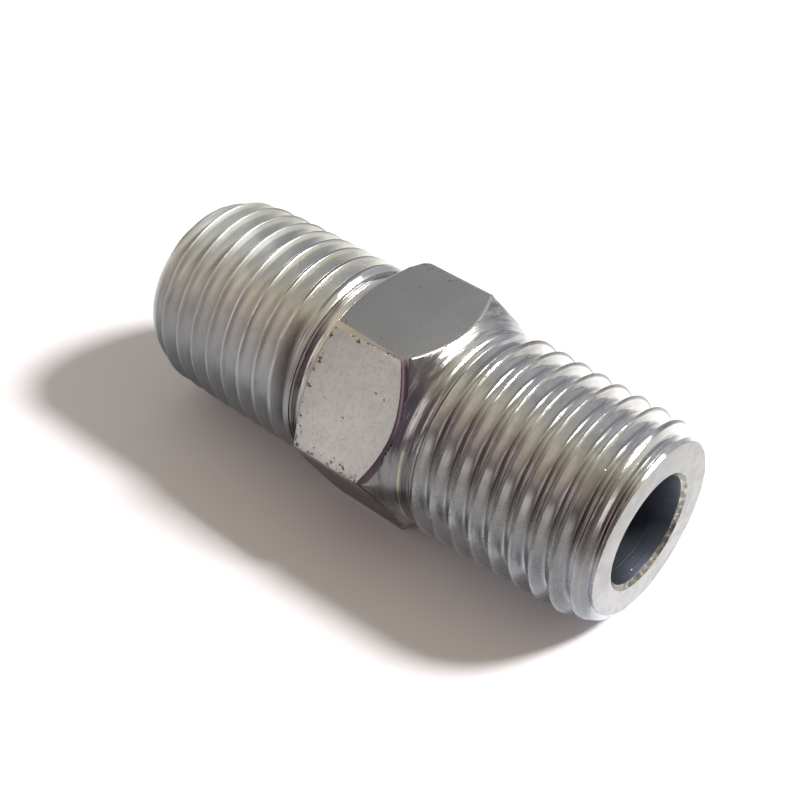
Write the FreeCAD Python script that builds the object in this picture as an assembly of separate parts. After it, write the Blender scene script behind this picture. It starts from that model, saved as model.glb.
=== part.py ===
import FreeCAD, Part
import math
import os

from FreeCAD import Placement, Rotation, Vector

# Hexagon double nipple, turned and threaded from one hexagon bar and bored right through.
# It lies on a hexagon flat. X runs along the bore, Z is up, and the origin is on the bore's axis,
# half way along the part. Sizes are in millimetres and angles in degrees.

# Body
overall_length = 35.8
across_flats = 14.29
bore_diameter = 7.2
mouth_chamfer = 0.27

# Hexagon ends, as the axial place of each corner, the slope of its chamfer against the axis, and
# the radius that blends it into the neck
near_corner_place = 2.70
near_corner_slope = 45.0
near_root_radius = 2.0
far_corner_place = 2.62
far_corner_slope = 60.0
far_root_radius = 1.0

# Necks between the hexagon and the threads, as their straight length and their depth below the
# full shank, and the slope of the edge where each shank starts
near_neck_length = 0.38
near_neck_depth = 0.475
far_neck_length = 0.45
far_neck_depth = 0.585
shank_edge_slope = 35.0

# Taper pipe thread, eighteen turns to the inch, one in sixteen on the diameter
thread_pitch = 25.4 / 18.0
diameter_taper = 1.0 / 16.0
end_thread_diameter = 13.25
flank_half_angle = 30.0

# Lead chamfer at each end face
rim_diameter = 11.8
lead_slope = 25.0

# Thread starts, as distances past the end of each neck: where the groove crosses the plane of the
# first hexagon corner, and where it reaches full depth after running in over part of a turn
near_groove_start = 0.282
near_full_depth_start = 0.88
near_runout_turns = 0.64
far_groove_start = 0.911
far_full_depth_start = 0.83
far_runout_turns = 0.75

# Helix resolution, and how far the cutting shapes reach past what they cut
points_per_turn = 12
overrun_turns = 1.2
overrun_length = 1.0
neck_overlap = 0.3

half_length = overall_length / 2.0
bore_radius = bore_diameter / 2.0
rim_radius = rim_diameter / 2.0
corner_radius = across_flats / math.sqrt(3.0)
radius_taper = diameter_taper / 2.0
full_radius = end_thread_diameter / 2.0 + half_length * radius_taper
near_neck_radius = full_radius - near_neck_depth
far_neck_radius = full_radius - far_neck_depth
groove_depth = thread_pitch / 2.0 / math.tan(math.radians(flank_half_angle))

axis_x = Vector(1, 0, 0)
axis_z = Vector(0, 0, 1)
centre = Vector(0, 0, 0)


def taper_radius(place):
    """Crest radius of the thread cone at an axial distance from the middle."""
    return end_thread_diameter / 2.0 + (half_length - place) * radius_taper


def at(place, radius):
    """Point of a turned outline."""
    return Vector(place, 0, radius)


def path_wire(points):
    """Closed wire of straight edges through the points."""
    return Part.makePolygon(points + [points[0]])


def turned(wire):
    """Solid of revolution about the bore's axis."""
    return Part.Face(wire).revolve(centre, axis_x, 360)


def blend_points(corner_place, slope, root_radius, neck_radius):
    """Start, middle and end of the blend from the hexagon's chamfer into its neck.

    The chamfer cone passes through the hexagon's corner at corner_place. The blend is two short
    cones through three points of the arc that is tangent to the chamfer and to the neck.
    """
    angle = math.radians(slope)
    half = angle / 2.0
    meet = corner_place + (corner_radius - neck_radius) / math.tan(angle)
    tangent = root_radius * math.tan(half)
    start = at(meet - tangent * math.cos(angle), neck_radius + tangent * math.sin(angle))
    middle = at(
        meet + tangent - root_radius * math.sin(half),
        neck_radius + root_radius * (1.0 - math.cos(half)),
    )
    return [start, middle, at(meet + tangent, neck_radius)]


def half_outline(corner_place, slope, root_radius, neck_radius, neck_length):
    """Points of one half's turned outline, from the hexagon's chamfer out to the end face's rim.

    The cone of the corner chamfer is carried past the corner, clear of the hexagon. The shank is
    left full here, and is brought to the thread's own form afterwards.
    """
    crown = corner_place - overrun_length / math.tan(math.radians(slope))
    blend = blend_points(corner_place, slope, root_radius, neck_radius)
    neck_end = blend[-1].x + neck_length
    edge_length = (full_radius - neck_radius) / math.tan(math.radians(shank_edge_slope))
    lead_length = (full_radius - rim_radius) / math.tan(math.radians(lead_slope))
    return [
        at(crown, corner_radius + overrun_length),
        *blend,
        at(neck_end, neck_radius),
        at(neck_end + edge_length, full_radius),
        at(half_length - lead_length, full_radius),
        at(half_length, rim_radius),
    ]


near_outline = half_outline(
    near_corner_place, near_corner_slope, near_root_radius, near_neck_radius, near_neck_length
)
far_outline = half_outline(
    far_corner_place, far_corner_slope, far_root_radius, far_neck_radius, far_neck_length
)
near_neck_end = near_outline[4].x
far_neck_end = far_outline[4].x


def turned_blank():
    """The turned bar before its flats are cut: hexagon stock, necks, full shanks, lead chamfers."""
    far_side = [at(-point.x, point.z) for point in reversed(far_outline)]
    outline = [at(-half_length, 0)] + far_side + near_outline + [at(half_length, 0)]
    return turned(path_wire(outline))


def flat_cutter():
    """Ring that leaves the six flats, with the bottom and top flats level."""
    corners = []
    for index in range(6):
        angle = math.radians(60.0 * index)
        corners.append(
            Vector(-far_neck_end, corner_radius * math.cos(angle), corner_radius * math.sin(angle))
        )
    length = near_neck_end + far_neck_end
    prism = Part.Face(path_wire(corners)).extrude(axis_x * length)
    ring_radius = corner_radius + 2.0 * overrun_length
    ring = Part.makeCylinder(ring_radius, length, Vector(-far_neck_end, 0, 0), axis_x)
    return ring.cut(prism)


def bore_cutter():
    """The through bore with a small chamfer at each mouth."""
    mouth = bore_radius + mouth_chamfer
    flare = mouth + overrun_length
    outside = half_length + overrun_length
    inside = half_length - mouth_chamfer
    outline = [
        at(-outside, 0),
        at(-outside, flare),
        at(-inside, bore_radius),
        at(inside, bore_radius),
        at(outside, flare),
        at(outside, 0),
    ]
    return turned(path_wire(outline))


def crest_point(turns, groove_place, full_place, runout_turns):
    """Point of the sharp crest that follows the groove, half a pitch on."""
    place = groove_place + thread_pitch * (turns + 0.5)
    angle = 2.0 * math.pi * turns
    radius = taper_radius(place)
    return Vector(place, radius * math.cos(angle), radius * math.sin(angle))


def root_point(turns, groove_place, full_place, runout_turns):
    """Point of the groove's sharp root.

    Short of full_place the root rises, ever faster, and reaches the crests once runout_turns
    are used up.
    """
    place = groove_place + thread_pitch * turns
    angle = 2.0 * math.pi * turns
    short = min(max((full_place - place) / thread_pitch / runout_turns, 0.0), 1.0)
    radius = taper_radius(place) - groove_depth * (1.0 - short * short)
    return Vector(place, radius * math.cos(angle), radius * math.sin(angle))


def thread_rod(start_place, *thread):
    """Solid rod with the thread's form, one ruled face to each flank and turn.

    Its ends are helicoids down to the axis, each closed by a flat step.
    """
    groove_place = thread[0]
    first = (start_place - groove_place) / thread_pitch - overrun_turns
    last = (half_length - groove_place) / thread_pitch + overrun_turns
    whole_turns = int(math.ceil(last - first))
    count = (whole_turns + 1) * points_per_turn
    parameters = [step / points_per_turn for step in range(count + 1)]

    def turn_edge(rail_point, turn):
        """Edge of a rail over one turn, cut from the whole rail so that the turns stay smooth."""
        curve = Part.BSplineCurve()
        points = [rail_point(first + parameter, *thread) for parameter in parameters]
        curve.interpolate(Points=points, Parameters=parameters)
        curve.segment(turn, turn + 1)
        return curve.toShape()

    def axis_point(turn):
        """Point of the axis level with the groove's root."""
        return Vector(root_point(first + turn, *thread).x, 0, 0)

    faces = []
    for turn in range(whole_turns):
        crest = turn_edge(crest_point, turn)
        faces.append(Part.makeRuledSurface(turn_edge(root_point, turn), crest))
        faces.append(Part.makeRuledSurface(crest, turn_edge(root_point, turn + 1)))
    for turn in (0, whole_turns):
        spine = Part.makeLine(axis_point(turn), axis_point(turn + 1))
        faces.append(Part.makeRuledSurface(turn_edge(root_point, turn), spine))
        step = [
            root_point(first + turn, *thread),
            crest_point(first + turn, *thread),
            root_point(first + turn + 1, *thread),
            axis_point(turn + 1),
            axis_point(turn),
        ]
        faces.append(Part.Face(path_wire(step)))
    shell = Part.Shell(faces)
    shell.sewShape()
    solid = Part.Solid(Part.Shell(shell.Faces))
    if solid.Volume < 0:
        solid.reverse()
    return solid


def thread_cutter(neck_end, *thread):
    """What is cut away round one shank to leave its thread, in the near end's frame."""
    start_place = neck_end - neck_overlap
    length = half_length + overrun_length - start_place
    block = Part.makeCylinder(full_radius + overrun_length, length, Vector(start_place, 0, 0), axis_x)
    return block.cut(thread_rod(start_place, *thread))


def nipple_body():
    """The finished nipple."""
    near_cutter = thread_cutter(
        near_neck_end,
        near_neck_end + near_groove_start,
        near_neck_end + near_full_depth_start,
        near_runout_turns,
    )
    far_cutter = thread_cutter(
        far_neck_end,
        far_neck_end + far_groove_start,
        far_neck_end + far_full_depth_start,
        far_runout_turns,
    )
    far_cutter.Placement = Placement(centre, Rotation(axis_z, 180))
    body = turned_blank().cut(flat_cutter()).cut(near_cutter).cut(far_cutter).cut(bore_cutter())
    return body.removeSplitter()


os.makedirs("parts", exist_ok=True)
nipple = nipple_body()
nipple.exportStep("parts/nipple_body.step")
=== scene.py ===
"""Looks of a hexagon double nipple: plated steel, taper threads on both shanks, a bore right through.

Lengths are in millimetres until a finished mesh is scaled to metres. X runs along the bore, Z is up,
and the origin is on the bore's axis, half way along the part.
"""

import logging
import math
from dataclasses import dataclass, field
from enum import Enum
from functools import cached_property
from typing import Iterable

import bmesh
import bpy
from mathutils import Matrix, Vector, noise


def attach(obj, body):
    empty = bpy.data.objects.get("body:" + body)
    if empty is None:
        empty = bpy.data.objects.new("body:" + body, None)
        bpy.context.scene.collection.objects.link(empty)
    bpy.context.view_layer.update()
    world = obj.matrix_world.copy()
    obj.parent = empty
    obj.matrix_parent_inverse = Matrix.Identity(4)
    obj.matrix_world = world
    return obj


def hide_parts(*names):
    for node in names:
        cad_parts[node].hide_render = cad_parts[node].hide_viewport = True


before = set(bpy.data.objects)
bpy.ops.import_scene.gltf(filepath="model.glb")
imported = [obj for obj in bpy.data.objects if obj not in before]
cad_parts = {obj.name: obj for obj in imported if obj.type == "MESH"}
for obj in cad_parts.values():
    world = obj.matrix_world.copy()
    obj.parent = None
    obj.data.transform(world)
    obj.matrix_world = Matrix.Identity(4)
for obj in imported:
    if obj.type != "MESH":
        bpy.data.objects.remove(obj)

log = logging.getLogger("nipple")

METRES = 0.001
AXIS = Vector((1.0, 0.0, 0.0))
STEPS_PER_TURN = 144
SEAM_STEP = 0.04
PLANE_TOLERANCE = 1e-3
WELD_DISTANCE = 0.002
HALF_LENGTH = 17.9
BODY_NODE = "nipple_body"
CREST_OFFSET = "crest_offset"

Tone = tuple[float, float, float]
Points = tuple[tuple[float, float], ...]
Socket = bpy.types.NodeSocket


class Zone(Enum):
    """Kinds of surface on the nipple, in the order of their material slots."""

    THREAD = 0
    NECK = 1
    FLAT = 2
    END_FACE = 3
    BORE = 4
    EDGE = 5
    MOUTH = 6
    DULL_THREAD = 7


class Way(Enum):
    """Ways along which a finish fades: the three axes, and outwards from the middle to both ends."""

    ALONG = 0
    BACK = 1
    UP = 2
    OUT = 3


def metres(lengths: Iterable[float]) -> tuple[float, ...]:
    """Turn lengths in millimetres into metres."""
    return tuple(length * METRES for length in lengths)


# Mesh helpers


def add_profile(bm: bmesh.types.BMesh, points: Iterable[tuple[float, float]]) -> list:
    """Lay a turned outline into a mesh as a chain of edges in the half plane that holds +Y.

    Args:
        bm: Mesh that receives the chain.
        points: Places along the axis and radii of the outline.

    Returns:
        The new vertices and edges.
    """
    verts = [bm.verts.new((place, radius, 0.0)) for place, radius in points]
    edges = [bm.edges.new(pair) for pair in zip(verts, verts[1:])]
    return verts + edges


def turned(points: Iterable[tuple[float, float]]) -> bmesh.types.BMesh:
    """Revolve an outline once about the bore's axis.

    Args:
        points: Places along the axis and radii of the outline.

    Returns:
        A new mesh, open at both ends of the outline.
    """
    bm = bmesh.new()
    bmesh.ops.spin(
        bm,
        geom=add_profile(bm, points),
        cent=(0.0, 0.0, 0.0),
        axis=AXIS,
        angle=2.0 * math.pi,
        steps=STEPS_PER_TURN,
        use_merge=True,
        use_duplicate=False,
    )
    return bm


def cut_away(bm: bmesh.types.BMesh, place: Vector, normal: Vector) -> list:
    """Cut a mesh with a plane and drop what lies beyond it.

    Args:
        bm: Mesh to cut.
        place: A point of the plane.
        normal: The plane's normal, towards what is dropped.

    Returns:
        The open edges that the cut leaves.
    """
    geom = bm.verts[:] + bm.edges[:] + bm.faces[:]
    result = bmesh.ops.bisect_plane(
        bm, geom=geom, dist=1e-5, plane_co=place, plane_no=normal, clear_outer=True
    )
    return [e for e in result["geom_cut"] if isinstance(e, bmesh.types.BMEdge)]


def cap(bm: bmesh.types.BMesh, edges: list, zone: Zone) -> None:
    """Fill an open loop with one face.

    Args:
        bm: Mesh with the loop.
        edges: The loop's edges.
        zone: Kind of surface of the new face.
    """
    for face in bmesh.ops.contextual_create(bm, geom=edges)["faces"]:
        face.material_index = zone.value


def close_ring(bm: bmesh.types.BMesh, place: float, zone: Zone) -> None:
    """Fill the flat ring between the two open loops in a plane square to the axis.

    Args:
        bm: Mesh with the two loops.
        place: The plane's place along the axis.
        zone: Kind of surface of the new ring.
    """

    def open_edges() -> list:
        """Find the open edges that lie in the plane.

        Returns:
            The edges.
        """
        return [
            edge
            for edge in bm.edges
            if edge.is_boundary
            and all(abs(vert.co.x - place) < PLANE_TOLERANCE for vert in edge.verts)
        ]

    verts = list({vert for edge in open_edges() for vert in edge.verts})
    bmesh.ops.remove_doubles(bm, verts=verts, dist=WELD_DISTANCE)
    ring = bmesh.ops.triangle_fill(bm, edges=open_edges(), use_beauty=True, normal=AXIS)["geom"]
    for face in ring:
        if isinstance(face, bmesh.types.BMFace):
            face.material_index = zone.value


def absorb(target: bmesh.types.BMesh, part: bmesh.types.BMesh) -> None:
    """Move all of one mesh into another.

    Args:
        target: Mesh that receives the part.
        part: Mesh that is moved, and freed here.
    """
    carrier = bpy.data.meshes.new("carrier")
    part.to_mesh(carrier)
    part.free()
    target.from_mesh(carrier)
    bpy.data.meshes.remove(carrier)


def stand(name: str, bm: bmesh.types.BMesh, materials: Iterable[bpy.types.Material]) -> bpy.types.Object:
    """Put a finished mesh in the scene.

    Args:
        name: The new object's name.
        bm: Its mesh in millimetres, freed here.
        materials: Its materials, in the order of their slots.

    Returns:
        The new object.
    """
    bmesh.ops.scale(bm, vec=(METRES,) * 3, verts=bm.verts[:])
    mesh = bpy.data.meshes.new(name)
    bm.to_mesh(mesh)
    bm.free()
    for material in materials:
        mesh.materials.append(material)
    obj = bpy.data.objects.new(name, mesh)
    bpy.context.collection.objects.link(obj)
    return obj


# The nipple's parts


@dataclass(frozen=True)
class Station:
    """A point of the thread's section, between the groove's middle and the crest.

    share is its distance from the middle as a share of the pitch. flank is its share of the way up
    the flank, spread its share of the root's half width, and lift its height above the plain section.
    """

    share: float
    flank: float
    spread: float
    lift: float

    def towards(self, other: "Station", share: float) -> "Station":
        """Find the station at a share of the pitch between this one and another.

        Args:
            other: The next station towards the crest.
            share: Distance from the groove's middle as a share of the pitch.

        Returns:
            The station there.
        """
        mix = (share - self.share) / (other.share - self.share)
        return Station(
            share,
            self.flank + (other.flank - self.flank) * mix,
            self.spread + (other.spread - self.spread) * mix,
            self.lift + (other.lift - self.lift) * mix,
        )


@dataclass
class TaperThread:
    """One shank's taper pipe thread, in a frame where its end face is at +X.

    The groove starts shallow beside the neck and reaches full depth after part of a turn. The die
    throws up a small ridge beside each crest and leaves the crests and the rim slightly uneven.
    """

    neck_end: float
    neck_radius: float
    groove_place: float
    full_depth_place: float
    runout_turns: float
    shank_radius: float
    seed: float
    zone: Zone = Zone.THREAD
    pitch: float = 25.4 / 18.0
    end_radius: float = 6.625
    radius_taper: float = 1.0 / 32.0
    crest_flat: float = 0.16
    root_half: float = 0.05
    land_start: float = 0.6
    rim_radius: float = 5.9
    rim_break: float = 0.04
    lead_slope: float = math.tan(math.radians(25.0))
    edge_slope: float = math.tan(math.radians(35.0))
    flank_slope: float = math.tan(math.radians(30.0))
    ridge: float = 1.0
    ridge_lift: float = 0.01
    full_lift_depth: float = 0.2
    wobble: float = 0.012
    wobble_scale: float = 0.9
    wobble_stretch: float = 1.7
    rim_reach: float = 0.25
    rim_wobble: float = 0.035
    rim_wobble_scale: float = 2.2
    overrun: float = 0.3
    stations: tuple[Station, ...] = (
        Station(0.00, 0.00, 0.0, 0.000),
        Station(0.03, 0.00, 1.0, 0.010),
        Station(0.07, 0.07, 1.0, 0.004),
        Station(0.10, 0.13, 1.0, 0.000),
        Station(0.12, 0.185, 1.0, 0.085),
        Station(0.14, 0.23, 1.0, 0.058),
        Station(0.16, 0.28, 1.0, 0.027),
        Station(0.18, 0.32, 1.0, 0.002),
        Station(0.22, 0.45, 1.0, 0.000),
        Station(0.28, 0.66, 1.0, 0.000),
        Station(0.34, 0.87, 1.0, 0.000),
        Station(0.39, 0.97, 1.0, -0.004),
        Station(0.42, 1.00, 1.0, -0.024),
        Station(0.45, 1.00, 1.8, -0.006),
    )

    @property
    def depth(self) -> float:
        """Full depth of the groove below the crests."""
        return (self.pitch - self.crest_flat) / 2.0 / self.flank_slope

    def cone(self, place: float) -> float:
        """Crest radius of the taper at a place along the axis."""
        return self.end_radius + (HALF_LENGTH - place) * self.radius_taper

    def crest(self, place: float) -> float:
        """Find the shank's radius before its groove is cut.

        Args:
            place: Place along the axis.

        Returns:
            The radius there.
        """
        lead = self.rim_radius + (HALF_LENGTH - place) * self.lead_slope
        past_rim = min(max(place - (HALF_LENGTH - self.rim_break), 0.0), self.rim_break)
        lead -= past_rim * past_rim / self.rim_break
        edge = self.neck_radius + (place - self.neck_end) * self.edge_slope
        return min(self.cone(place), self.shank_radius, lead, edge)

    def root(self, middle: float) -> float:
        """Find the radius of the groove's bottom.

        Args:
            middle: Place of the groove's middle along the axis.

        Returns:
            The radius there.
        """
        short = (self.full_depth_place - middle) / self.pitch / self.runout_turns
        short = min(max(short, 0.0), 1.0)
        return self.cone(middle) - self.depth * (1.0 - short * short)

    def half_width(self, middle: float, side: float) -> float:
        """Find the distance from the groove's middle to the crest's edge on one side.

        Args:
            middle: Place of the groove's middle along the axis.
            side: 1 for the side towards the end face, -1 for the other.

        Returns:
            The distance along the axis.
        """
        width = self.depth * self.flank_slope
        for _ in range(5):
            rise = self.crest(middle + side * width) - self.root(middle)
            width = max(rise, 0.0) * self.flank_slope + self.root_half
        return width

    def station_at(self, share: float) -> Station:
        """Find the section's station at a distance from the groove's middle.

        Args:
            share: The distance as a share of the pitch, no more than the last station's.

        Returns:
            The station there.
        """
        for low, high in zip(self.stations, self.stations[1:]):
            if share <= high.share:
                break
        return low.towards(high, share)

    def place_on_side(self, middle: float, side: float, share: float) -> tuple[float, float]:
        """Find the section's point beside one groove.

        Args:
            middle: Place of the groove's middle at this angle.
            side: 1 for the side towards the end face, -1 for the other.
            share: Distance from the groove's middle as a share of the pitch.

        Returns:
            The point's place along the axis and its radius.
        """
        width = self.half_width(middle, side)
        last = self.stations[-1].share
        if share > last:
            land = self.land_start * self.root_half
            own = middle + side * (width + land)
            other_middle = middle + side * self.pitch
            other = other_middle - side * (self.half_width(other_middle, -side) + land)
            place = own + (other - own) * (share - last) / (1.0 - 2.0 * last)
            return place, self.crest(place)
        station = self.station_at(share)
        root = self.root(middle)
        depth = max(self.crest(middle + side * width) - root, 0.0)
        lift = station.lift * (self.ridge if station.lift > self.ridge_lift else 1.0)
        radius = root + station.flank * depth + lift * min(depth / self.full_lift_depth, 1.0)
        offset = station.spread * self.root_half + station.flank * (width - self.root_half)
        place = middle + side * offset
        return place, min(radius, self.crest(place))

    def phase(self, co: Vector) -> float:
        """Return how many pitches a point is past a groove, which may be any whole number off."""
        return (co.x - self.groove_place) / self.pitch - math.atan2(co.z, co.y) / (2.0 * math.pi)

    def note_crests(self, bm: bmesh.types.BMesh) -> None:
        """Store at each face corner how far it is past its crest, in pitches.

        Args:
            bm: The shank's finished mesh.
        """
        offset = bm.loops.layers.float.new(CREST_OFFSET)
        for face in bm.faces:
            middle = self.phase(face.calc_center_median())
            past_crest = middle - math.floor(middle) - 0.5
            for loop in face.loops:
                apart = self.phase(loop.vert.co) - middle
                loop[offset] = past_crest + apart - round(apart)

    def shape(self, co: Vector) -> Vector:
        """Carry a point of the plain helical sheet to the thread's own surface.

        Args:
            co: The point on the sheet.

        Returns:
            The point on the thread.
        """
        angle = math.atan2(co.z, co.y) % (2.0 * math.pi)
        turns = angle / (2.0 * math.pi)
        phase = (co.x - self.groove_place) / self.pitch - turns + 1e-6
        turn = math.floor(phase)
        share = phase - turn
        middle = self.groove_place + self.pitch * (turn + turns)
        if share <= 0.5:
            place, radius = self.place_on_side(middle, 1.0, share)
        else:
            place, radius = self.place_on_side(middle + self.pitch, -1.0, 1.0 - share)
        stretched = place * self.wobble_stretch + self.seed
        where = Vector((stretched, radius * math.cos(angle), radius * math.sin(angle)))
        crest_share = min(max((radius - self.root(middle)) / self.depth, 0.0), 1.0)
        radius -= self.wobble * crest_share * (1.0 + noise.noise(where * self.wobble_scale))
        if place > HALF_LENGTH - self.rim_reach:
            radius -= self.rim_wobble * (1.0 + noise.noise(where * self.rim_wobble_scale))
        return Vector((place, radius * math.cos(angle), radius * math.sin(angle)))

    def build(self) -> bmesh.types.BMesh:
        """Make the shank's outer surface from the neck to the plane of the end face.

        Returns:
            A new mesh, open at the neck and at the end face.
        """
        shares = [station.share for station in self.stations]
        shares = shares + [0.5] + [1.0 - share for share in reversed(shares)]
        first = math.floor((self.neck_end - self.overrun - self.groove_place) / self.pitch) - 1
        last = math.ceil((HALF_LENGTH + self.overrun - self.groove_place) / self.pitch)
        pitches = [first + turn + share for turn in range(last - first) for share in shares[:-1]]
        outline = [(self.groove_place + self.pitch * count, self.end_radius) for count in pitches]
        bm = bmesh.new()
        bmesh.ops.spin(
            bm,
            geom=add_profile(bm, outline),
            cent=(0.0, 0.0, 0.0),
            axis=AXIS,
            dvec=AXIS * (self.pitch / STEPS_PER_TURN),
            angle=2.0 * math.pi,
            steps=STEPS_PER_TURN,
            use_duplicate=False,
        )
        bmesh.ops.remove_doubles(bm, verts=bm.verts[:], dist=1e-3)
        for vert in bm.verts:
            vert.co = self.shape(vert.co)
        cut_away(bm, AXIS * (self.neck_end + SEAM_STEP), -AXIS)
        cut_away(bm, AXIS * HALF_LENGTH, AXIS)
        for face in bm.faces:
            face.material_index = self.zone.value
        self.note_crests(bm)
        return bm


@dataclass
class HexEnd:
    """One end of the hexagon: its corner chamfer, and the blend and neck beside it.

    die_marks holds the places and rises of a neck that the die has marked. Without it, the turning
    tool's rings run over the blend and the neck.
    """

    corner_place: float
    slope: float
    root_radius: float
    neck_radius: float
    neck_end: float
    seam_depth: float = 0.12
    seam_gap: float = 0.02
    tool_mark: float = 0.028
    ring_turn: float = 2.1
    ring_growth: tuple[float, float] = (0.5, 0.8)
    neck_rings: int = 4
    neck_ring_share: float = 0.8
    die_marks: Points = ()

    def tool_ring(self, step: int, steps: int) -> float:
        """Return how high the tool's rings stand at one step of the blend."""
        growth = self.ring_growth[0] + self.ring_growth[1] * step / steps
        return self.tool_mark * math.sin(step * self.ring_turn) * growth

    def outline(self, corner_radius: float, crown_radius: float, steps: int = 18) -> list:
        """Outline from above the hexagon's corner to just short of the shank.

        Args:
            corner_radius: Radius of the hexagon's corners.
            crown_radius: Radius, clear of the corners, where the outline starts.
            steps: Number of spans round the blend.

        Returns:
            Places along the axis and radii.
        """
        angle = math.radians(self.slope)
        meet = self.corner_place + (corner_radius - self.neck_radius) / math.tan(angle)
        centre = meet + self.root_radius * math.tan(angle / 2.0)
        crown = self.corner_place - (crown_radius - corner_radius) / math.tan(angle)
        points = [(crown, crown_radius)]
        last = self.die_marks[0][0] if self.die_marks else self.neck_end
        for step in range(steps + 1):
            turn = angle * (1.0 - step / steps)
            if centre - self.root_radius * math.sin(turn) > last:
                break
            radius = self.root_radius - (0.0 if self.die_marks else self.tool_ring(step, steps))
            rise = self.root_radius - radius * math.cos(turn)
            points.append((centre - radius * math.sin(turn), self.neck_radius + rise))
        straight = self.neck_end - self.seam_gap - centre
        neck_mark = self.tool_mark * self.neck_ring_share
        marks = self.die_marks or [
            (centre + straight * ring / (self.neck_rings + 1), neck_mark * (-1.0) ** ring)
            for ring in range(1, self.neck_rings + 1)
        ]
        points += [(place, self.neck_radius + rise) for place, rise in marks]
        points.append((self.neck_end - self.seam_gap, self.neck_radius))
        points.append((self.neck_end, self.neck_radius - self.seam_depth))
        points.append((self.neck_end + SEAM_STEP, self.neck_radius - self.seam_depth))
        return points


@dataclass
class Hexagon:
    """The wrench hexagon with its chamfered ends and both necks.

    One upper corner is bruised along its length, and the far end of another is blunted in two cuts.
    """

    near: HexEnd
    far: HexEnd
    across_flats: float = 14.29
    crown_margin: float = 0.5
    corner_break: float = 0.06
    rim_break: float = 0.09
    wide_rim: float = 0.26
    wide_rim_angles: tuple[float, float] = (121.0, 179.0)
    bruise_angle: float = math.radians(120.0)
    bruise_depth: float = 0.13
    blunt_angle: float = math.radians(60.0)
    blunt_depth: float = 0.16
    blunt_normals: tuple[tuple[float, float, float], ...] = ((-0.30, 0.50, 0.80), (-0.80, 0.35, 0.60))

    def build(self) -> bmesh.types.BMesh:
        """Turn the blank, cut its six flats and break their edges.

        Returns:
            A new mesh, open at both necks.
        """
        corner = self.across_flats / math.sqrt(3.0)
        crown = corner + self.crown_margin
        near = self.near.outline(corner, crown)
        far = [(-place, radius) for place, radius in self.far.outline(corner, crown)]
        bm = turned(list(reversed(far)) + near)
        for face in bm.faces:
            face.material_index = Zone.NECK.value
        for index in range(6):
            normal = self.outwards(math.radians(30.0 + 60.0 * index))
            cap(bm, cut_away(bm, normal * (self.across_flats / 2.0), normal), Zone.FLAT)
        self.bruise_corner(bm, corner)
        self.blunt_corner(bm, corner)
        bm.normal_update()
        self.break_edges(bm)
        return bm

    @staticmethod
    def outwards(angle: float) -> Vector:
        """Return the direction square to the axis at an angle."""
        return Vector((0.0, math.cos(angle), math.sin(angle)))

    def bruise_corner(self, bm: bmesh.types.BMesh, corner: float) -> None:
        """Shave one upper corner, deeper towards the far end.

        Args:
            bm: The hexagon's mesh.
            corner: Radius of the hexagon's corners.
        """
        outwards = self.outwards(self.bruise_angle)
        length = self.near.corner_place + self.far.corner_place
        normal = (outwards - AXIS * (self.bruise_depth / length)).normalized()
        cap(bm, cut_away(bm, outwards * corner + AXIS * self.near.corner_place, normal), Zone.EDGE)

    def blunt_corner(self, bm: bmesh.types.BMesh, corner: float) -> None:
        """Knock off the tip of the far upper corner in two cuts.

        Args:
            bm: The hexagon's mesh.
            corner: Radius of the hexagon's corners.
        """
        tip = self.outwards(self.blunt_angle) * corner - AXIS * self.far.corner_place
        for normal in self.blunt_normals:
            normal = Vector(normal).normalized()
            cap(bm, cut_away(bm, tip - normal * self.blunt_depth, normal), Zone.EDGE)

    def break_edges(self, bm: bmesh.types.BMesh) -> None:
        """Round the corners between flats, then the curved edges of each flat.

        Args:
            bm: The hexagon's mesh.
        """
        flat = Zone.FLAT.value
        corners = [
            edge
            for edge in bm.edges
            if len(edge.link_faces) == 2 and all(f.material_index == flat for f in edge.link_faces)
        ]
        self.bevel(bm, corners, self.corner_break)
        rims = [
            edge
            for edge in bm.edges
            if sorted(face.material_index == flat for face in edge.link_faces) == [False, True]
        ]
        wide = [edge for edge in rims if self.on_wide_rim(edge)]
        self.bevel(bm, wide, self.wide_rim)
        rims = [edge for edge in rims if edge.is_valid and edge not in wide]
        self.bevel(bm, rims, self.rim_break)
        log.info("hexagon: %d corner edges, %d rim edges", len(corners), len(rims))

    def on_wide_rim(self, edge: bmesh.types.BMEdge) -> bool:
        """Tell whether an edge is on the near rim of the upper front flat.

        Args:
            edge: An edge of a flat's rim.

        Returns:
            True where it is.
        """
        middle = (edge.verts[0].co + edge.verts[1].co) / 2.0
        angle = math.degrees(math.atan2(middle.z, middle.y))
        return middle.x > 0.0 and self.wide_rim_angles[0] < angle < self.wide_rim_angles[1]

    @staticmethod
    def bevel(bm: bmesh.types.BMesh, edges: list, width: float) -> None:
        """Round off edges.

        Args:
            bm: Mesh with the edges.
            edges: The edges.
            width: Width of the rounding on each side.
        """
        result = bmesh.ops.bevel(
            bm,
            geom=edges,
            offset=width,
            offset_type="OFFSET",
            segments=3,
            profile=0.5,
            affect="EDGES",
            material=-1,
        )
        for face in result["faces"]:
            face.material_index = Zone.EDGE.value


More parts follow.
